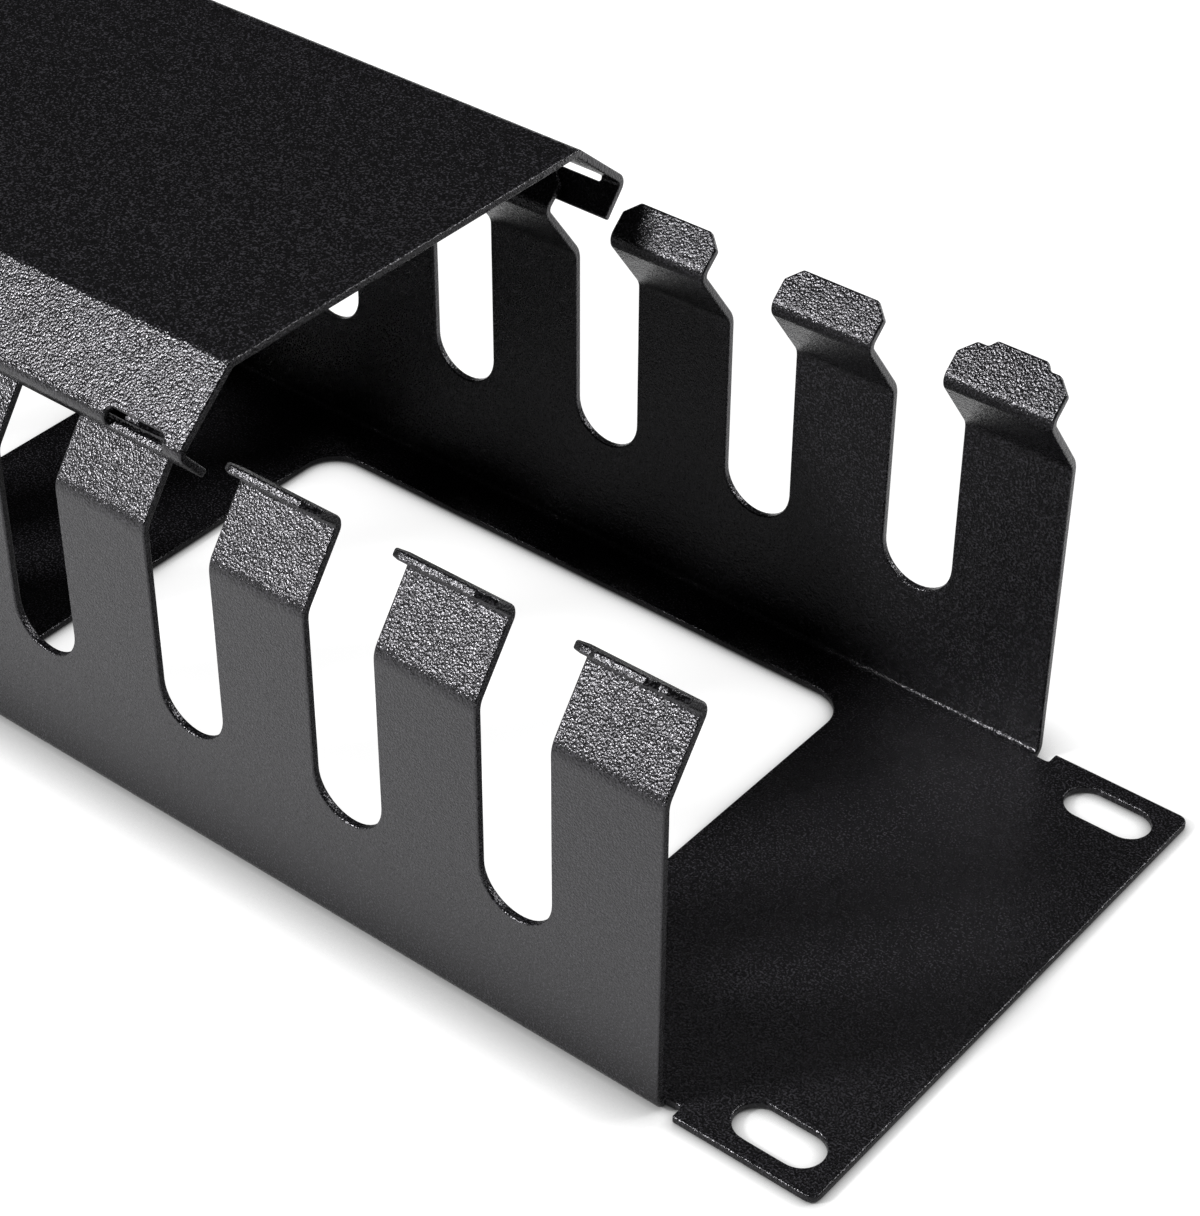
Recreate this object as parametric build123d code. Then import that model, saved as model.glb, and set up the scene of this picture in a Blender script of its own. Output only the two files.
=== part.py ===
from build123d import *
from math import cos, radians, sin, tan
import os

os.makedirs("parts", exist_ok=True)

# Sheet steel, millimetres, back face of the plate at z = 0 and its centre at the origin
sheet_t = 1.2
bend_inside_r = 0.8
cut_margin = 2.0

# Back plate, a two unit rack panel with an ear beyond each end of the walls
panel_l = 482.6
panel_w = 88.1
panel_corner_r = 1.5
ear_l = 23.8
mount_end_rim = 9.5
mount_side_rim = 5.95
mount_slot_l = 13.0
mount_slot_w = 6.5
relief_w = 2.2

# Openings in the back plate and the cross bars between them
opening_count = 3
opening_end_rim = 26.9
opening_side_rim = 9.25
cross_bar_w = 38.9
opening_corner_r = 5.5

# Walls cut into fingers, each with a neck leaning in and a tip leaning out
finger_count = 16
end_finger_w = 16.9
gap_w = 11.5
gap_floor_z = 19.4
neck_z = 50.4
neck_rise = 9.7
neck_lean = 35.5
neck_inside_r = 3.0
tip_lean = 48.0
tip_l = 5.8
tip_corner = 2.1

# Raised tabs on the tips of the end fingers
tab_base_w = 9.4
tab_top_w = 7.6
tab_h = 1.1

# Cover, placed by its clearance round the tabs and set back along the duct from its home
cover_clearance = 0.36
cover_rise = 9.2
cover_side_slope = 41.0
cover_lip_lean = 40.0
cover_lip_l = 6.6
cover_bend_inside_r = 0.6
cover_set_back = 76.0
cover_slot_end_gap = 0.4
cover_slot_up_side = 2.3
cover_slot_down_lip = 2.1
cover_slot_corner_r = 0.8

wall_l = panel_l - 2 * ear_l
mount_pitch_x = panel_l - 2 * mount_end_rim
mount_pitch_y = panel_w - 2 * mount_side_rim
bend_outside_r = bend_inside_r + sheet_t
finger_pitch = (wall_l - 2 * end_finger_w - gap_w) / (finger_count - 2)
finger_w = finger_pitch - gap_w
end_finger_x = (wall_l - end_finger_w) / 2


def folded_section(half_line, half_radii):
    """Face of a symmetric folded sheet from half its outside line and the folds' inside radii."""
    outside = half_line + [Vector(-p.X, p.Y) for p in reversed(half_line)]
    inside_radii = half_radii + half_radii[::-1]
    runs = [(b - a).normalized() for a, b in zip(outside, outside[1:])]
    sides = [Vector(run.Y, -run.X) for run in runs]
    inside = [outside[0] + sides[0] * sheet_t]
    for corner, before, after in zip(outside[1:], sides, sides[1:]):
        middle = (before + after).normalized()
        inside.append(corner + middle * (sheet_t / middle.dot(before)))
    inside.append(outside[-1] + sides[-1] * sheet_t)
    section = make_face(Polyline(*outside, *reversed(inside), close=True))
    for i, inside_r in enumerate(inside_radii, 1):
        radii = [inside_r + sheet_t, inside_r]
        if runs[i - 1].cross(runs[i]).Z > 0:
            radii.reverse()
        for corner, radius in zip((outside[i], inside[i]), radii):
            section = fillet(section.vertices().sort_by_distance(corner)[0], radius)
    return section


def run_along_x(section, length):
    """Stand a section drawn in y and z up and extrude it both ways along the duct."""
    plane = Plane(origin=(0, 0, 0), x_dir=(0, 1, 0), z_dir=(1, 0, 0))
    return extrude(plane * section, length / 2, both=True)


def wall_line():
    """Outside line of the far wall: tab's end, waist, neck and the plate's edge."""
    foot = Vector(panel_w / 2, 0)
    neck = foot + Vector(0, neck_z)
    waist = neck + Vector(-neck_rise * tan(radians(neck_lean)), neck_rise)
    tip = Vector(sin(radians(tip_lean)), cos(radians(tip_lean)))
    return [waist + tip * (tip_l + tab_h), waist, neck, foot]


def back_plate():
    web = Rectangle(panel_l, panel_w - 2 * bend_outside_r)
    flat_l = ear_l - relief_w
    ear = Pos((panel_l - flat_l) / 2, 0) * Rectangle(flat_l, panel_w)
    ear = fillet(ear.vertices().sort_by(Axis.X)[-2:], panel_corner_r)
    return extrude(web + ear + mirror(ear, Plane.YZ), sheet_t)


def back_holes():
    """Cutters for the openings between the walls and the slots in the ears."""
    span = wall_l - 2 * opening_end_rim
    opening_l = (span - (opening_count - 1) * cross_bar_w) / opening_count
    opening = RectangleRounded(opening_l, panel_w - 2 * opening_side_rim, opening_corner_r)
    openings = GridLocations(opening_l + cross_bar_w, 0, opening_count, 1) * opening
    slot = SlotOverall(mount_slot_l, mount_slot_w)
    slots = GridLocations(mount_pitch_x, mount_pitch_y, 2, 2) * slot
    return extrude(Sketch() + openings + slots, sheet_t + cut_margin, both=True)


def finger_gaps():
    """Cutters for the round-floored gaps, each through both walls at once."""
    plane = Plane(origin=(0, 0, 0), x_dir=(1, 0, 0), z_dir=(0, -1, 0))
    round_z = gap_floor_z + gap_w / 2
    top_z = neck_z + neck_rise + tip_l + tab_h + cut_margin
    gap = Pos(0, round_z) * Circle(gap_w / 2)
    gap += Pos(0, (round_z + top_z) / 2) * Rectangle(gap_w, top_z - round_z)
    gaps = GridLocations(finger_pitch, 0, finger_count - 1, 1) * gap
    return extrude(plane * (Sketch() + gaps), panel_w / 2 + cut_margin, both=True)


def tip_outline(width, with_tab):
    """Flat shape of one tip, x along the duct and y from the waist to the free end."""
    right = [
        (width / 2, 0),
        (width / 2, tip_l - tip_corner),
        (width / 2 - tip_corner, tip_l),
    ]
    if with_tab:
        right += [(tab_base_w / 2, tip_l), (tab_top_w / 2, tip_l + tab_h)]
    left = [(-x, y) for x, y in reversed(right)]
    return make_face(Polyline(*right, *left, close=True))


def tip_waste(waist, side):
    """Metal to take off around the tips of one wall, square to their sheet."""
    up_tip = Vector(0, side * sin(radians(tip_lean)), cos(radians(tip_lean)))
    plane = Plane(
        origin=(0, side * waist.X, waist.Y),
        x_dir=(1, 0, 0),
        z_dir=Vector(1, 0, 0).cross(up_tip),
    )
    low = tip_l - tip_corner
    high = tip_l + tab_h + cut_margin
    waste = Pos(0, (low + high) / 2) * Rectangle(wall_l + cut_margin, high - low)
    for place in GridLocations(finger_pitch, 0, finger_count - 2, 1):
        waste -= place * tip_outline(finger_w, False)
    for x in (-end_finger_x, end_finger_x):
        waste -= Pos(x, 0) * tip_outline(end_finger_w, True)
    return extrude(plane * waste, sheet_t + cut_margin / 4, both=True)


def make_body(wall):
    section = folded_section(wall, [bend_inside_r, neck_inside_r, bend_inside_r])
    body = run_along_x(section, wall_l)
    body += back_plate()
    body -= back_holes()
    body -= finger_gaps()
    for side in (-1, 1):
        body -= tip_waste(wall[1], side)
    return body


def cover_line(wall):
    """Outside line of the cover's near half, whose lip and side both clear the tab."""
    slope = radians(cover_side_slope)
    lean = radians(cover_lip_lean)
    side_out = Vector(-sin(slope), cos(slope))
    lip_out = Vector(-cos(lean), -sin(lean))
    tab_out = Vector(-wall[0].X, wall[0].Y)
    tab_in = tab_out + Vector(cos(radians(tip_lean)), sin(radians(tip_lean))) * sheet_t
    side_reach = side_out.dot(tab_in) + cover_clearance + sheet_t
    lip_reach = lip_out.dot(tab_out) + cover_clearance + sheet_t
    spread = side_out.cross(lip_out).Z
    fold = Vector(
        (side_reach * lip_out.Y - lip_reach * side_out.Y) / spread,
        (lip_reach * side_out.X - side_reach * lip_out.X) / spread,
    )
    lip_end = fold + Vector(sin(lean), -cos(lean)) * cover_lip_l
    top = fold + Vector(cover_rise / tan(slope), cover_rise)
    return [lip_end, fold, top]


def cover_slot(end, side, fold):
    """Cutter for the slot across one corner's lower fold, square to the sloping side."""
    slope = radians(cover_side_slope)
    up_side = Vector(0, -side * cos(slope), sin(slope))
    plane = Plane(
        origin=(end * end_finger_x, side * -fold.X, fold.Y),
        x_dir=(side, 0, 0),
        z_dir=Vector(side, 0, 0).cross(up_side),
    )
    width = tab_base_w + 2 * cover_slot_end_gap
    length = cover_slot_up_side + cut_margin
    shape = Pos(0, cover_slot_up_side - length / 2) * RectangleRounded(
        width, length, cover_slot_corner_r
    )
    cutter = extrude(plane * shape, cut_margin)
    return cutter + extrude(plane * shape, -(sheet_t + cover_slot_down_lip))


def make_cover(wall):
    line = cover_line(wall)
    cover = run_along_x(folded_section(line, [cover_bend_inside_r] * 2), wall_l)
    for end in (-1, 1):
        for side in (-1, 1):
            cover -= cover_slot(end, side, line[1])
    return Pos(-cover_set_back, 0, 0) * cover


wall = wall_line()
export_step(make_body(wall), "parts/duct_body.step")
export_step(make_cover(wall), "parts/cover.step")
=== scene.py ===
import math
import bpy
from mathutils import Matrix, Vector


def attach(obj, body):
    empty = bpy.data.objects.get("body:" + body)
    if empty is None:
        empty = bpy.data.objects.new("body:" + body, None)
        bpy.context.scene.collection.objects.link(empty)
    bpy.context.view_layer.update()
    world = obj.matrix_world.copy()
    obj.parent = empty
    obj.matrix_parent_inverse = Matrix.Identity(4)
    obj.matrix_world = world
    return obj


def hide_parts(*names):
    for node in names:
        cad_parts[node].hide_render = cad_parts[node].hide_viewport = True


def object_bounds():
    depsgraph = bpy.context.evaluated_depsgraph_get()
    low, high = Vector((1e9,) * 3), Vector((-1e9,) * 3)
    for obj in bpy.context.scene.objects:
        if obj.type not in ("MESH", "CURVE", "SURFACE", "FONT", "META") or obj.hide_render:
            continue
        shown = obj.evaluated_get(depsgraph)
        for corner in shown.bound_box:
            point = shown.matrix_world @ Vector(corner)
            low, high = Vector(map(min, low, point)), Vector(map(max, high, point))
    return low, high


bl_info = {
    "name": "Rack cable manager",
    "version": (1, 0, 0),
    "blender": (4, 5, 0),
    "location": "3D View > Sidebar > Cable manager",
    "description": "Powder coats a folded steel cable manager and sets it in a plain studio",
    "category": "Object",
}

import bmesh
import bpy
from bpy.props import FloatProperty, FloatVectorProperty, IntProperty, PointerProperty
from mathutils import Vector

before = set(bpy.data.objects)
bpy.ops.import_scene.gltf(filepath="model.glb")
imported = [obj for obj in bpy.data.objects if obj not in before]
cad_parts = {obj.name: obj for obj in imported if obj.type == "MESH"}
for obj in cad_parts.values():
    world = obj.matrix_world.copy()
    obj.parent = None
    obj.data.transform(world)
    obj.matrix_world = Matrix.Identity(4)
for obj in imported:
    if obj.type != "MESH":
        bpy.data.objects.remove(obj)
cad_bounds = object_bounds()

# Coat: what its pattern is made of, and how far that moves its gloss and colour
grain_share = 0.6
pebble_share = 0.4
pebbles_per_grain = 0.8
gloss_patch_scale = 14.0
noise_middle = 0.5
gloss_by_grain = 0.14
gloss_by_patch = 0.06
pit_tone = 0.4
peak_tone = 6.0
speck_start = 0.5
speck_full = 0.72
bump_units_per_metre = 1000
coat_ior = 1.5
coat_tint = (0.965, 0.95, 1.0, 1.0)
cover_pattern_shift = 3.7

# Sheets: how the CAD mesh is merged, and which of its edges are rounded
merge_distance = 1e-6
flat_angle = math.radians(0.2)
cut_edge_angle = math.radians(40)
flat_face_weight = 100

# Studio, in metres and degrees, with the sensor in millimetres
floor_half = 6.0
floor_gap = 0.0002
floor_roughness = 0.9
floor_specular = 0.1
contact_samples = 8
part_middle = (0.1, 0, 0.05)
part_foot = (0.1, 0, 0)
camera_place = (0.374446, -0.251693, 0.281707)
camera_turn = (52.1012, -0.267, 38.9279)
camera_sensor = 36
camera_clip_start = 0.01
white = (1, 1, 1, 1)


# Settings that a user would change


class PowderCoat(bpy.types.PropertyGroup):
    colour: FloatVectorProperty(
        name="Colour",
        description="Colour of the black coat, which its pits darken and its peaks lighten",
        subtype="COLOR",
        size=3,
        min=0,
        max=1,
        default=(0.006, 0.0058, 0.0067),
    )
    roughness: FloatProperty(
        name="Roughness",
        description="How matt the coat is on average",
        min=0,
        max=1,
        default=0.26,
    )
    grain_size: FloatProperty(
        name="Grain size",
        description="Width of the fine grains of the texture",
        unit="LENGTH",
        min=0.0001,
        default=0.00029,
    )
    grain_depth: FloatProperty(
        name="Grain depth",
        description="Height of the fine grains",
        unit="LENGTH",
        min=0,
        default=0.000145,
    )
    peel_size: FloatProperty(
        name="Orange peel size",
        description="Width of the slow waves under the grain",
        unit="LENGTH",
        min=0.0001,
        default=0.0016,
    )
    peel_depth: FloatProperty(
        name="Orange peel depth",
        description="Height of the slow waves",
        unit="LENGTH",
        min=0,
        default=0.00006,
    )


class CoatedEdges(bpy.types.PropertyGroup):
    radius: FloatProperty(
        name="Edge radius",
        description="How far the coat rounds the sheet's cut edges",
        unit="LENGTH",
        min=0.00005,
        default=0.0003,
    )
    steps: IntProperty(
        name="Edge steps",
        description="Facets across each rounded edge",
        min=1,
        max=4,
        default=3,
    )


class Studio(bpy.types.PropertyGroup):
    floor_tone: FloatProperty(
        name="Floor tone",
        description="Lightness of the floor where only the lamps light it",
        min=0,
        max=1,
        default=0.3,
    )
    floor_lift: FloatProperty(
        name="Floor lift",
        description="Extra white that the camera and the coat's gloss see on the floor",
        min=0,
        max=1,
        default=0.95,
    )
    # Painted shadow: ambient occlusion darkens the floor's glow this far from the part's foot
    contact: FloatProperty(
        name="Contact shadow",
        description="How far the soft shadow at the foot of the part reaches",
        unit="LENGTH",
        min=0.0001,
        default=0.009,
    )
    # Painted shade: gloss and transmission see the floor's glow dimmed between the walls' lines
    foot_shade: FloatProperty(
        name="Foot shade",
        description="How much weaker the coat mirrors the floor between the walls' lines",
        min=0,
        max=1,
        default=0.88,
    )
    foot_shade_reach: FloatProperty(
        name="Foot shade reach",
        description="How far beyond the walls that shade fades out",
        unit="LENGTH",
        min=0.001,
        default=0.012,
    )
    key_power: FloatProperty(
        name="Key power",
        description="Power of the soft light at the front left",
        unit="POWER",
        min=0,
        default=30,
    )
    top_power: FloatProperty(
        name="Top power",
        description="Power of the soft light overhead, which gives the flat faces their sheen",
        unit="POWER",
        min=0,
        default=0.6,
    )
    side_power: FloatProperty(
        name="Side power",
        description="Power of the light behind at the right that draws the edges",
        unit="POWER",
        min=0,
        default=12,
    )
    surround: FloatProperty(
        name="Surround",
        description="Light from the rest of the studio",
        min=0,
        max=1,
        default=0.035,
    )
    lens: FloatProperty(
        name="Lens",
        description="Focal length on a 36 mm sensor, in millimetres",
        min=1,
        default=90.667,
    )


# Shader nodes written as expressions


class Wire:
    """One socket of a material, which takes part in sums as a number does."""

    def __init__(self, nodes, socket):
        self.nodes = nodes
        self.socket = socket

    def sum(self, operation, first, second):
        return self.nodes.add("ShaderNodeMath", {"operation": operation}, {0: first, 1: second})

    def __add__(self, other):
        return self.sum("ADD", self, other)

    def __radd__(self, other):
        return self.sum("ADD", other, self)

    def __sub__(self, other):
        return self.sum("SUBTRACT", self, other)

    def __rsub__(self, other):
        return self.sum("SUBTRACT", other, self)

    def __mul__(self, other):
        return self.sum("MULTIPLY", self, other)

    def __rmul__(self, other):
        return self.sum("MULTIPLY", other, self)

    def __abs__(self):
        return self.sum("ABSOLUTE", self, 0)


class Nodes:
    """The nodes of one material or world."""

    def __init__(self, owner):
        owner.use_nodes = True
        self.tree = owner.node_tree
        self.tree.nodes.clear()

    def add(self, kind, settings=None, inputs=None, output=0):
        """Add a node: its settings first, then the values or wires of its sockets."""
        node = self.tree.nodes.new(kind)
        for key, value in (settings or {}).items():
            setattr(node, key, value)
        for key, value in (inputs or {}).items():
            if isinstance(value, Wire):
                self.tree.links.new(value.socket, node.inputs[key])
            else:
                node.inputs[key].default_value = value
        return Wire(self, node.outputs[output]) if node.outputs else None


def powder_coat(name, shift, coat):
    """Black textured powder coat: fine grain over orange peel, a little uneven in gloss."""
    material = bpy.data.materials.new(name)
    nodes = Nodes(material)
    place = nodes.add("ShaderNodeTexCoord", output="Object")
    place = nodes.add(
        "ShaderNodeVectorMath", {"operation": "ADD"}, {0: place, 1: (shift, shift, shift)}
    )
    grain = nodes.add(
        "ShaderNodeTexNoise",
        inputs={"Vector": place, "Scale": 1 / coat.grain_size, "Detail": 1.0, "Roughness": 0.5},
    )
    pebbles = nodes.add(
        "ShaderNodeTexVoronoi",
        {"feature": "F1"},
        {"Vector": place, "Scale": pebbles_per_grain / coat.grain_size},
    )
    peel = nodes.add(
        "ShaderNodeTexNoise",
        inputs={"Vector": place, "Scale": 1 / coat.peel_size, "Detail": 1.0, "Roughness": 0.4},
    )
    patches = nodes.add(
        "ShaderNodeTexNoise",
        inputs={"Vector": place, "Scale": gloss_patch_scale, "Detail": 2.0},
    )
    grains = grain_share * grain + pebble_share * (1 - pebbles)
    height = grains * coat.grain_depth + peel * coat.peel_depth
    bump = nodes.add(
        "ShaderNodeBump",
        inputs={
            "Height": height * bump_units_per_metre,
            "Distance": 1 / bump_units_per_metre,
            "Strength": 1.0,
        },
    )
    roughness = (
        coat.roughness
        + gloss_by_grain * (grain - noise_middle)
        + gloss_by_patch * (patches - noise_middle)
    )
    pits = [pit_tone * c for c in coat.colour]
    peaks = [peak_tone * c for c in coat.colour]
    speck = nodes.add(
        "ShaderNodeMapRange",
        {"interpolation_type": "SMOOTHSTEP"},
        {"Value": grain, "From Min": speck_start, "From Max": speck_full},
    )
    colour = nodes.add(
        "ShaderNodeMix",
        {"data_type": "RGBA"},
        {"Factor": speck, "A": (*pits, 1), "B": (*peaks, 1)},
        output="Result",
    )
    surface = nodes.add(
        "ShaderNodeBsdfPrincipled",
        inputs={
            "Base Color": colour,
            "Roughness": roughness,
            "Normal": bump,
            "IOR": coat_ior,
            "Specular Tint": coat_tint,
        },
    )
    nodes.add("ShaderNodeOutputMaterial", inputs={"Surface": surface})
    return material


# Pieces


def coated_sheet(node, body, material):
    """Cover one folded sheet with a coat that rounds its cut edges."""
    edges = bpy.context.scene.coated_edges
    cad_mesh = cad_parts[node].data
    cad_mesh.materials.clear()
    cad_mesh.materials.append(material)
    mesh = cad_mesh.copy()
    build = bmesh.new()
    build.from_mesh(mesh)
    bmesh.ops.remove_doubles(build, verts=build.verts, dist=merge_distance)
    bmesh.ops.dissolve_limit(
        build, angle_limit=flat_angle, verts=build.verts, edges=build.edges
    )
    for face in build.faces:
        face.smooth = True
        face.material_index = 0
    build.to_mesh(mesh)
    build.free()
    sheet = bpy.data.objects.new(node + "_coat", mesh)
    bpy.context.scene.collection.objects.link(sheet)
    rounded = sheet.modifiers.new("Rounded edges", "BEVEL")
    rounded.width = edges.radius
    rounded.segments = edges.steps
    rounded.limit_method = "ANGLE"
    rounded.angle_limit = cut_edge_angle
    rounded.use_clamp_overlap = False
    rounded.miter_outer = "MITER_ARC"
    level = sheet.modifiers.new("Flat faces", "WEIGHTED_NORMAL")
    level.mode = "FACE_AREA"
    level.weight = flat_face_weight
    bpy.context.view_layer.update()
    graph = bpy.context.evaluated_depsgraph_get()
    finished = bpy.data.meshes.new_from_object(sheet.evaluated_get(graph))
    sheet.modifiers.clear()
    sheet.data = finished
    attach(sheet, body)
    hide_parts(node)


class CABLE_OT_duct(bpy.types.Operator):
    """Coat the folded duct with its fingers and ears"""

    bl_idname = "cable.duct"
    bl_label = "Duct"

    def execute(self, context):
        coat = powder_coat("duct_powder_coat", 0.0, context.scene.powder_coat)
        coated_sheet("duct_body", "duct", coat)
        return {"FINISHED"}


class CABLE_OT_cover(bpy.types.Operator):
    """Coat the folded cover"""

    bl_idname = "cable.cover"
    bl_label = "Cover"

    def execute(self, context):
        settings = context.scene.powder_coat
        coat = powder_coat("cover_powder_coat", cover_pattern_shift, settings)
        coated_sheet("cover", "cover", coat)
        return {"FINISHED"}


# Studio


def white_floor(studio):
    """White floor whose glow carries a painted soft contact shadow, and which gloss sees dimmed
    by painted shade between the walls.
    """
    material = bpy.data.materials.new("white_floor")
    nodes = Nodes(material)
    camera = nodes.add("ShaderNodeLightPath", output="Is Camera Ray")
    glossy = nodes.add("ShaderNodeLightPath", output="Is Glossy Ray")
    through = nodes.add("ShaderNodeLightPath", output="Is Transmission Ray")
    # Painted contact shadow: ambient occlusion darkens the floor's glow next to the part
    painted_contact_shadow = nodes.add(
        "ShaderNodeAmbientOcclusion",
        {"samples": contact_samples},
        {"Distance": studio.contact},
        output="AO",
    )
    place = nodes.add("ShaderNodeTexCoord", output="Object")
    across = nodes.add("ShaderNodeSeparateXYZ", inputs={"Vector": place}, output="Y")
    # Painted shade: the floor's glow, as gloss and transmission see it, is dimmed between the
    # walls and fades out beyond them
    wall = cad_bounds[1].y
    painted_wall_shade = nodes.add(
        "ShaderNodeMapRange",
        {"interpolation_type": "SMOOTHSTEP"},
        {
            "Value": abs(across),
            "From Min": wall,
            "From Max": wall + studio.foot_shade_reach,
            "To Min": 1 - studio.foot_shade,
            "To Max": 1.0,
        },
    )
    # The camera sees the glow darkened by the painted contact shadow; gloss and transmission see
    # it dimmed by the painted shade between the walls
    seen = camera * painted_contact_shadow * painted_contact_shadow + (glossy + through) * painted_wall_shade
    surface = nodes.add(
        "ShaderNodeBsdfPrincipled",
        inputs={
            "Base Color": (studio.floor_tone,) * 3 + (1,),
            "Roughness": floor_roughness,
            "Specular IOR Level": floor_specular,
            "Emission Color": white,
            "Emission Strength": seen * studio.floor_lift,
        },
    )
    nodes.add("ShaderNodeOutputMaterial", inputs={"Surface": surface})
    return material


def soft_light(name, place, aim, width, power):
    """Square area light at a place, turned towards its aim."""
    lamp = bpy.data.lights.new(name, "AREA")
    lamp.shape = "RECTANGLE"
    lamp.size = lamp.size_y = width
    lamp.energy = power
    light = bpy.data.objects.new(name, lamp)
    light.location = place
    light.rotation_euler = (Vector(aim) - Vector(place)).to_track_quat("-Z", "Y").to_euler()
    bpy.context.scene.collection.objects.link(light)


class CABLE_OT_studio(bpy.types.Operator):
    """Set the floor, the lights, the surround and the camera"""

    bl_idname = "cable.studio"
    bl_label = "Studio"

    def execute(self, context):
        scene = context.scene
        studio = scene.studio
        low = cad_bounds[0].z - floor_gap
        mesh = bpy.data.meshes.new("floor")
        half = floor_half
        corners = [(-half, -half, low), (half, -half, low), (half, half, low), (-half, half, low)]
        mesh.from_pydata(corners, [], [(0, 1, 2, 3)])
        mesh.materials.append(white_floor(studio))
        floor = bpy.data.objects.new("floor", mesh)
        scene.collection.objects.link(floor)

        soft_light("key", (-0.55, -1.02, 0.92), part_middle, 0.25, studio.key_power)
        soft_light("side", (0.95, 0.95, 0.95), part_middle, 0.4, studio.side_power)
        soft_light("top", (-0.3, 0.5, 1.4), part_foot, 0.35, studio.top_power)

        world = bpy.data.worlds.new("studio")
        scene.world = world
        nodes = Nodes(world)
        backdrop = nodes.add("ShaderNodeLightPath", output="Is Camera Ray")
        strength = studio.surround + backdrop * (1 - studio.surround)
        around = nodes.add(
            "ShaderNodeBackground", inputs={"Color": white, "Strength": strength}
        )
        nodes.add("ShaderNodeOutputWorld", inputs={"Surface": around})

        camera = bpy.data.objects.new("camera", bpy.data.cameras.new("camera"))
        camera.location = camera_place
        camera.rotation_euler = [math.radians(a) for a in camera_turn]
        camera.data.lens = studio.lens
        camera.data.sensor_width = camera_sensor
        camera.data.clip_start = camera_clip_start
        scene.collection.objects.link(camera)
        scene.camera = camera
        scene.view_settings.view_transform = "Standard"
        return {"FINISHED"}


# Add-on


class CABLE_PT_sidebar(bpy.types.Panel):
    bl_label = "Cable manager"
    bl_idname = "CABLE_PT_sidebar"
    bl_space_type = "VIEW_3D"
    bl_region_type = "UI"
    bl_category = "Cable manager"

    def draw(self, context):
        scene = context.scene
        for settings in (scene.powder_coat, scene.coated_edges, scene.studio):
            box = self.layout.box()
            for key in settings.__annotations__:
                box.prop(settings, key)
        for operator in operators:
            self.layout.operator(operator.bl_idname)


operators = (CABLE_OT_duct, CABLE_OT_cover, CABLE_OT_studio)
classes = (PowderCoat, CoatedEdges, Studio, *operators, CABLE_PT_sidebar)


def register():
    for item in classes:
        bpy.utils.register_class(item)
    bpy.types.Scene.powder_coat = PointerProperty(type=PowderCoat)
    bpy.types.Scene.coated_edges = PointerProperty(type=CoatedEdges)
    bpy.types.Scene.studio = PointerProperty(type=Studio)


def unregister():
    del bpy.types.Scene.studio
    del bpy.types.Scene.coated_edges
    del bpy.types.Scene.powder_coat
    for item in reversed(classes):
        bpy.utils.unregister_class(item)


def main():
    register()
    bpy.ops.cable.duct()
    bpy.ops.cable.cover()
    bpy.ops.cable.studio()


if __name__ == "__main__":
    main()
